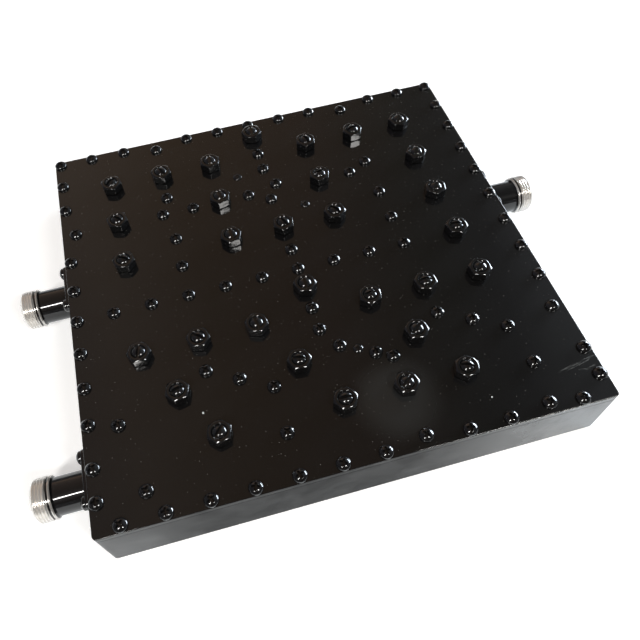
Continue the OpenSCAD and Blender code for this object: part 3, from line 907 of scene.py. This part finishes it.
# %% The tree that makes a threaded rod
ROOT_SHARE = 0.15
TOOTH_SLOPE = 1.5
ROUNDING = 0.0001
threaded_rod, given, result = geometry_tree("threaded_rod", {
    "Radius": ("Float", 0.0025), "Depth": ("Float", 0.0004), "Pitch": ("Float", 0.0008),
    "Length": ("Float", 0.016), "Taper": ("Float", 0.0005), "Tip": ("Float", 0.002),
    "Sides": ("Int", 24), "Rows": ("Int", 100), "Rows per turn": ("Int", 6),
    "Finish": ("Material", None)})
# The grid: its columns go round the rod, and its rows climb.
grid = link(threaded_rod, "GeometryNodeMeshGrid", {
    "Size X": 1.0, "Size Y": 1.0, "Vertices X": given["Sides"] + 1.0,
    "Vertices Y": given["Rows"]})
across, along, _ = axes_of(link(threaded_rod, "GeometryNodeInputPosition")[0])
around = across + 0.5
last_row = given["Rows"] - 1.0
row = math_of("ROUND", (along + 0.5) * last_row)
# The height of a point, pressed flat at both ends of the rod.
turns = row / given["Rows per turn"]
climb = (turns - around) * given["Pitch"]
height = math_of("MINIMUM", math_of("MAXIMUM", climb, 0.0), given["Length"])
# The tooth: along the rod a zigzag from 0 to 1, cut off flat at its root and at its crest.
part = math_of("FRACT", turns + ROUNDING)
tooth = 1.0 - math_of("ABSOLUTE", part * 2.0 - 1.0)
crest = ((tooth - ROOT_SHARE) * TOOTH_SLOPE).clamped()
inside = (climb > 0.0) * (climb < given["Length"])
thread_radius = given["Radius"] - given["Depth"] * (1.0 - crest * inside)
# The taper of the far end, and the first and last rows drawn together on the axis.
slope = (given["Radius"] - given["Tip"]) / given["Taper"]
cone_radius = given["Tip"] + (given["Length"] - height) * slope
not_pole = (row > 0.5) * (row < last_row - 0.5)
radius = math_of("MINIMUM", thread_radius, cone_radius) * not_pole
# Every point goes to its angle, radius and height, and the seam is joined.
angle = around * (2 * math.pi)
bent = link(threaded_rod, "ShaderNodeCombineXYZ", {
    "X": radius * math_of("COSINE", angle), "Y": radius * math_of("SINE", angle), "Z": height})
wound = link(threaded_rod, "GeometryNodeSetPosition", {"Geometry": grid["Mesh"],
                                                       "Position": bent[0]})
closed = link(threaded_rod, "GeometryNodeMergeByDistance", {"Geometry": wound[0],
                                                            "Distance": 2 * MERGE_DISTANCE})
end_tree(closed[0], given, result)


def thread(name, radius, depth, pitch, length, taper, tip, sides, rows_per_turn):
    """A threaded rod from height 0 up to its length, sizes in millimetres."""
    rows = rows_per_turn * (math.ceil(length / pitch) + 1) + 1
    rod = run_tree(name, threaded_rod, bpy.data.meshes.new(name), {
        "Radius": radius * MM, "Depth": depth * MM, "Pitch": pitch * MM, "Length": length * MM,
        "Taper": taper * MM, "Tip": tip * MM, "Sides": sides, "Rows": rows,
        "Rows per turn": rows_per_turn})
    return close_holes(rod)


# %% [markdown]
# ## Tuning screws
# Each screw is a threaded rod with a slot and no head. It moves on its own, so each one is a
# piece of its own. The slotted end is a spun dome with the slot cut through it, joined to the
# rod below. Two patterns, one for each length, are copied into the measured places.

# %% The two tuning screw patterns
TUNER_RADIUS = 2.5
SLOT_WIDTH = 1.1
SLOT_DEPTH = 1.4
CROWN_HEIGHT = 1.9
CROWN_SPHERE = 3.2
LONG_TUNER = 20.0
SHORT_TUNER = 18.0
JOIN_DEPTH = 0.1


def tuning_screw(name, length):
    """A slotted rod whose domed top is at height 0."""
    rod = thread(name, TUNER_RADIUS, depth=0.38, pitch=0.8,
                 length=length - CROWN_HEIGHT + JOIN_DEPTH, taper=0.5, tip=2.0, sides=24,
                 rows_per_turn=6)
    move(rod, (0, 0, (JOIN_DEPTH - CROWN_HEIGHT) * MM), math.pi, "X")
    crown = turned("crown", [(0, -CROWN_HEIGHT), (TUNER_RADIUS, -CROWN_HEIGHT)]
                   + dome(TUNER_RADIUS, 0.0, CROWN_SPHERE), 40)
    slot = block("slot", (-3, -SLOT_WIDTH / 2, -SLOT_DEPTH), (3, SLOT_WIDTH / 2, 1))
    soften(cut(crown, slot), 0.08, 35, lambda m: m.z > 0.05 - CROWN_HEIGHT)
    return cut(rod, crown, "UNION")


long_tuner = tuning_screw("long_tuner", LONG_TUNER)
short_tuner = tuning_screw("short_tuner", SHORT_TUNER)
print(describe(long_tuner), "/", describe(short_tuner))

# %% Copy them into their places
for node_name in sorted(n for n in nodes if "_tuner_" in n):
    corners = solids_of(node_name)[0]
    centre = centre_of(corners)
    short = "resonator" in node_name
    pattern, length = (short_tuner, SHORT_TUNER) if short else (long_tuner, LONG_TUNER)
    top = min(c.z for c in corners) + length * MM
    floor = [c for c in corners if abs(c.z - (top - SLOT_DEPTH * MM)) < 0.02 * MM]
    turn = turn_of(floor, centre, 2)
    piece = add_object(node_name + "_screw", pattern.data.copy())
    move(piece, (centre.x, centre.y, top), turn)
    coat_with(piece, fastener_paint)
    smooth(piece)
    hand_over(piece, node_name, node_name)
discard(long_tuner, short_tuner)
print("tuning screws placed")

# %% [markdown]
# ## Connector shells
# Each connector is turned from one bar with its square flange: a smooth barrel, a narrow
# bevelled collar, a groove and the coupling thread, which runs out on the tapered nose. The
# paint stops on the collar's bevel. The body is spun, the thread comes from the tree above, the
# flange is a plate with round corners, and all three are joined before the bores are cut.

# %% One connector shell on its own axis
WALL = 5.2
FLANGE_HALF = 10.8
FLANGE_CORNER = 2.4
FLANGE_HOLE = 8.1
FLANGE_HOLE_RADIUS = 1.3
SPIGOT_RADIUS = 5.9
BARREL_RADIUS = 6.8
BARREL_LENGTH = 13.7
BEVEL_RADIUS = 6.9
PAINT_END = 14.4
GROOVE_START = 15.06
COLLAR = ((7.393, PAINT_END), (7.68, 14.62), (7.84, 14.72), (7.9, 14.82), (7.9, 15.0),
          (7.84, GROOVE_START))
GROOVE_RADIUS = 7.14
THREAD_RADIUS = 7.94
THREAD_DEPTH = 0.58
THREAD_PITCH = 1.058
THREAD_START = 16.05
THREAD_SINK = 0.05
CORE_RADIUS = 6.9
CORE_LENGTH = 0.95
NOSE_LENGTH = 1.4
NOSE_RADIUS = 6.4
SHELL_LENGTH = 21.6
SEAT_RADIUS = 5.05
SEAT_END = 11.5
SHOULDER_RADIUS = 3.5
MOUTH_RADIUS = 4.05
MOUTH_START = 12.5
MOUTH_FLARE = 20.9


def flange_plate():
    """A square plate with round upright corners and softened rims."""
    mesh = bmesh.new()
    bmesh.ops.create_cube(mesh, size=1)
    for vert in mesh.verts:
        vert.co = Vector((vert.co.x * 2 * FLANGE_HALF, vert.co.y * 2 * FLANGE_HALF,
                          (vert.co.z + 0.5) * FLANGE_THICKNESS)) * MM
    upright = [e for e in mesh.edges if abs(e.verts[0].co.z - e.verts[1].co.z) > MM]
    bmesh.ops.bevel(mesh, geom=upright, offset=FLANGE_CORNER * MM, segments=8, profile=0.5,
                    affect="EDGES")
    plate = from_bmesh("flange_plate", mesh)
    return soften(plate, 0.5, 60, lambda m: m.z > 1, 3)


def connector_shell(name):
    """The shell with its wall face at height 0 and its mouth at the top."""
    core_end = THREAD_START + CORE_LENGTH
    shell = turned(name, [
        (0, -WALL), (SPIGOT_RADIUS, -WALL), (SPIGOT_RADIUS, 1.0), (BARREL_RADIUS, 1.0),
        (BARREL_RADIUS, BARREL_LENGTH), (BEVEL_RADIUS, BARREL_LENGTH + 0.1), *COLLAR,
        (GROOVE_RADIUS, GROOVE_START), (GROOVE_RADIUS, THREAD_START),
        (CORE_RADIUS, THREAD_START), (CORE_RADIUS, core_end), (0, core_end)], 96)
    rod = thread("rod", THREAD_RADIUS, THREAD_DEPTH, THREAD_PITCH,
                 SHELL_LENGTH - THREAD_START + THREAD_SINK, NOSE_LENGTH, NOSE_RADIUS, sides=96,
                 rows_per_turn=8)
    move(rod, (0, 0, (THREAD_START - THREAD_SINK) * MM))
    cut(shell, rod, "UNION")
    cut(shell, flange_plate(), "UNION")
    past_end = SHELL_LENGTH + 1.0
    flare_radius = MOUTH_RADIUS + past_end - MOUTH_FLARE
    bores = turned("bores", [
        (0, -WALL - 1), (SEAT_RADIUS, -WALL - 1), (SEAT_RADIUS, SEAT_END),
        (SHOULDER_RADIUS, SEAT_END), (SHOULDER_RADIUS, MOUTH_START), (MOUTH_RADIUS, MOUTH_START),
        (MOUTH_RADIUS, MOUTH_FLARE), (flare_radius, past_end), (0, past_end)], 64)
    cut(shell, bores)
    for x in (-FLANGE_HOLE, FLANGE_HOLE):
        for y in (-FLANGE_HOLE, FLANGE_HOLE):
            hole = turned("hole", [(0, -1), (FLANGE_HOLE_RADIUS, -1), (FLANGE_HOLE_RADIUS, 4),
                                   (0, 4)], 24)
            move(hole, (x * MM, y * MM, 0))
            cut(shell, hole)
    return close_holes(shell)


shell_pattern = connector_shell("shell_pattern")
print(describe(shell_pattern))

# %% Which faces are painted
# Paint covers the outside up to the collar's bevel, and the groove. The bores and the thread
# are bare. A face with a hole in it has its centre in the bore, so its corners are asked.
coat_with(shell_pattern, bright_nickel, connector_paint)
for face in shell_pattern.data.polygons:
    height = face.center.z / MM
    reach = min(shell_pattern.data.vertices[i].co.xy.length for i in face.vertices) / MM
    before_collar = height < PAINT_END
    in_groove = GROOVE_START < height < THREAD_START and reach < GROOVE_RADIUS + 0.1
    face.material_index = int(reach > SPIGOT_RADIUS + 0.05 and (before_collar or in_groove))
painted = sum(face.material_index for face in shell_pattern.data.polygons)
print("painted faces:", painted, "of", len(shell_pattern.data.polygons))

# %% Copy the shell to the three connectors
for side, node_name in ((-1, "front_left_shell"), (-1, "rear_left_shell"), (1, "right_shell")):
    low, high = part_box(node_name)
    axis = (low + high) / 2
    wall_x = side * OUTLINE_WIDTH / 2 * MM
    piece = add_object(node_name + "_turned", shell_pattern.data.copy())
    move(piece, (wall_x, axis.y, axis.z), side * math.pi / 2, "Y")
    smooth(piece)
    hand_over(piece, node_name, "root")
    print(describe(piece))
discard(shell_pattern)

# %% [markdown]
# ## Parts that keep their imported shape
# The contacts and insulators show in the mouths of the connectors, and the posts, straps and
# wires are inside the box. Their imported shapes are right, so they only get their finishes.

# %% Give the inner parts their finishes
KEPT_FINISHES = {
    "insulator": white_plastic, "probe_block": white_plastic, "contact": gold_finish,
    "tap": soft_copper, "coupling_loop": soft_copper, "coupling_probe": soft_copper,
    "resonator_posts": silver_finish, "post_screws": plain_steel}
for node_name, node in nodes.items():
    if node.hide_render:
        continue
    match = next(coat for ending, coat in KEPT_FINISHES.items() if node_name.endswith(ending))
    for material_slot in node.material_slots:
        material_slot.material = match
    print(node_name, "->", match.name)

# %% [markdown]
# ## Floor, light and camera
# A gloss black object shows mostly what it mirrors, so its surroundings matter as much as the
# paint. A few plain things do the work of a whole room: a pale sweep round the box, a dim sky
# that is warm at the left and cool at the right, two narrow lamps above the front and a wide
# bluish one low at the right. The camera looks down on the front, at the photograph's angle.

# %% The pale sweep
# The floor is paler to the camera and in mirror images than it is as a source of light, so
# it can be nearly white without brightening the object, and it still shows the shadow. In
# mirror images it falls off to a dark grey far out, as a small white table does.
SWEEP_RADIUS = 1.5
SWEEP_HEIGHT = 0.52
SWEEP_CURVE = 0.30
CURVE_STEPS = 12
SWEEP_DROP = 0.0002
TABLE_EDGE = (0.45, 1.1)
FLOOR_COLOUR = (0.86, 0.86, 0.855)
FLOOR_SEEN = (0.98, 0.98, 0.975)
FLOOR_MIRRORED = (0.90, 0.96, 1.0)
WALL_MIRRORED = (0.22, 0.22, 0.23)
FLOOR_GLOW = (0.38, 0.38, 0.378)
BACKDROP_GLOW = (0.50, 0.50, 0.498)
FAR_BACKDROP_GLOW = (0.80, 0.80, 0.798)
NO_GLOW = (0.0, 0.0, 0.0)
pale, shader, place = finish("pale_sweep", FLOOR_COLOUR, Roughness=0.9, Specular_IOR_Level=0.1,
                             Emission_Strength=1.0)
far_out = ramp_of(vector_of("LENGTH", place), *TABLE_EDGE)
rays = link(place.tree, "ShaderNodeLightPath")
straight = math_of("MAXIMUM", rays["Is Camera Ray"], rays["Is Transmission Ray"])
mirrored = mix_colour(far_out, FLOOR_MIRRORED, WALL_MIRRORED)
unseen = mix_colour(rays["Is Glossy Ray"], FLOOR_COLOUR, mirrored)
mix_colour(straight, unseen, FLOOR_SEEN).into(shader.inputs["Base Color"])
near_glow = mix_colour(far_out, FLOOR_GLOW, NO_GLOW)
unseen_glow = mix_colour(rays["Is Glossy Ray"], NO_GLOW, near_glow)
backdrop_glow = mix_colour(far_out, BACKDROP_GLOW, FAR_BACKDROP_GLOW)
mix_colour(straight, unseen_glow, backdrop_glow).into(shader.inputs["Emission Color"])
profile = [(0.0, 0.0), (SWEEP_RADIUS - SWEEP_CURVE, 0.0)]
for step in range(1, CURVE_STEPS + 1):
    bend = math.radians(90 * step / CURVE_STEPS)
    profile.append((SWEEP_RADIUS - SWEEP_CURVE + SWEEP_CURVE * math.sin(bend),
                    SWEEP_CURVE * (1 - math.cos(bend))))
profile.append((SWEEP_RADIUS, SWEEP_HEIGHT))
sweep = turned("pale_sweep", [(r / MM, z / MM) for r, z in profile], 96)
move(sweep, (0, 0, -SWEEP_DROP))
with open_mesh(sweep) as mesh:
    if min(mesh.faces, key=lambda f: f.calc_center_median().length).normal.z < 0:
        bmesh.ops.reverse_faces(mesh, faces=mesh.faces)
sweep.data.materials.append(pale)
sweep.data.shade_smooth()
sweep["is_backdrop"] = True
print(describe(sweep))

# %% The sky above
# Its tone is the product of two plain gradients, one from left to right and one from front to
# back, each given as (place from -1 to 1, tone). The low back wall lies over both.
ACROSS_THE_ROOM = ((-0.55, (0.16, 0.155, 0.18)), (-0.16, (0.30, 0.225, 0.17)),
                   (0.00, (0.21, 0.145, 0.095)), (0.18, (0.17, 0.12, 0.085)),
                   (0.34, (0.10, 0.092, 0.075)), (0.42, (0.10, 0.098, 0.095)),
                   (0.50, (0.25, 0.26, 0.27)), (0.90, (0.23, 0.26, 0.29)))
FRONT_TO_BACK = tuple((place, (grey, grey, grey)) for place, grey in (
    (-0.60, 0.25), (-0.20, 0.5), (0.30, 0.85), (0.60, 1.05), (0.80, 1.4)))
LOW_BACK_WALL = (0.60, 0.42, 0.31)
BACK_WALL_START = (0.76, 0.90)


def tone_of(value, stops):
    """A colour that changes with a value from -1 to 1, through the given stops."""
    position = link(value.tree, "ShaderNodeMapRange", {"Value": value, "From Min": -1.0})
    tones = link(value.tree, "ShaderNodeValToRGB", {"Fac": position["Result"]})
    elements = tones.node.color_ramp.elements
    elements.remove(elements[0])
    for index, (at, colour) in enumerate(stops):
        element = elements[0] if index == 0 else elements.new((at + 1) / 2)
        element.position = (at + 1) / 2
        element.color = (*colour, 1.0)
    return tones["Color"]


world = bpy.data.worlds.new("dim_room")
bpy.context.scene.world = world
world.use_nodes = True
sky = world.node_tree.nodes["Background"]
x, y, _ = axes_of(link(world.node_tree, "ShaderNodeTexCoord")["Generated"])
walls = link(world.node_tree, "ShaderNodeMix", {
    0: 1.0, 6: tone_of(x, ACROSS_THE_ROOM), 7: tone_of(y, FRONT_TO_BACK)},
    data_type="RGBA", blend_type="MULTIPLY")[2]
on_back_wall = ramp_of(y, *BACK_WALL_START)
mix_colour(on_back_wall, walls, LOW_BACK_WALL).into(sky.inputs["Color"])
print("sky:", world.name)

# %% Lamps
LAMP_DISTANCE = 1.1
LAMP_COLOUR = (1.0, 0.98, 0.95)
WINDOW_COLOUR = (0.80, 0.90, 1.0)


def soft_lamp(name, direction, along, size, power, colour):
    """A lamp in a direction from the middle of the cover, facing it, its long side along."""
    data = bpy.data.lights.new(name, "AREA")
    data.shape = "RECTANGLE"
    data.size, data.size_y = size
    data.energy = power
    data.color = colour
    lamp = add_object(name, data)
    away = Vector(direction).normalized()
    up = away.cross(Vector(along)).normalized()
    turn = Matrix((up.cross(away), up, away)).transposed().to_4x4()
    place = Vector((0, 0, COVER_TOP_Z * MM)) + away * LAMP_DISTANCE
    lamp.matrix_world = Matrix.Translation(place) @ turn
    lamp.visible_camera = False


soft_lamp("lamp_left", (-0.39, -0.56, 0.73), (0.85, 0.53, 0), (0.40, 0.07), 5.0, LAMP_COLOUR)
soft_lamp("lamp_right", (0.36, -0.58, 0.73), (0.93, -0.37, 0), (0.26, 0.07), 3.2, LAMP_COLOUR)
soft_lamp("window", (0.940, 0.322, 0.115), (-0.324, 0.946, 0), (0.72, 0.21), 17.0, WINDOW_COLOUR)
print("lamps placed")

# %% Camera
# The lens and the viewpoint were worked out from the box's edges in the photograph. The small
# shift is there because the photograph was cropped off centre.
CAMERA_PLACE = (-35.689, -149.493, 225.873)
CAMERA_HEADING = 10.124
CAMERA_TILT = 57.201
CAMERA_ROLL = 5.471
view = bpy.data.cameras.new("photo_view")
view.lens = 35.57
view.sensor_width = 36.0
view.shift_x = 0.0646
view.shift_y = -0.0057
view.clip_start = 0.01
view.clip_end = 20.0
camera = add_object("photo_view", view)
camera.matrix_world = (Matrix.Translation(Vector(CAMERA_PLACE) * MM)
                       @ Matrix.Rotation(-math.radians(CAMERA_HEADING), 4, "Z")
                       @ Matrix.Rotation(math.radians(90 - CAMERA_TILT), 4, "X")
                       @ Matrix.Rotation(-math.radians(CAMERA_ROLL), 4, "Z"))
bpy.context.scene.camera = camera
bpy.context.scene.view_settings.view_transform = "Standard"
print("camera:", camera.name, "lens", view.lens)

# %% [markdown]
# ## The box of the dressed object
# Its bounds are printed at the end. The dressed object has to stay in the box of its
# solids.

# %% Print the box of the dressed object
bpy.context.view_layer.update()
low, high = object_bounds()
print("visual box:", [round(v, 5) for v in low], [round(v, 5) for v in high])
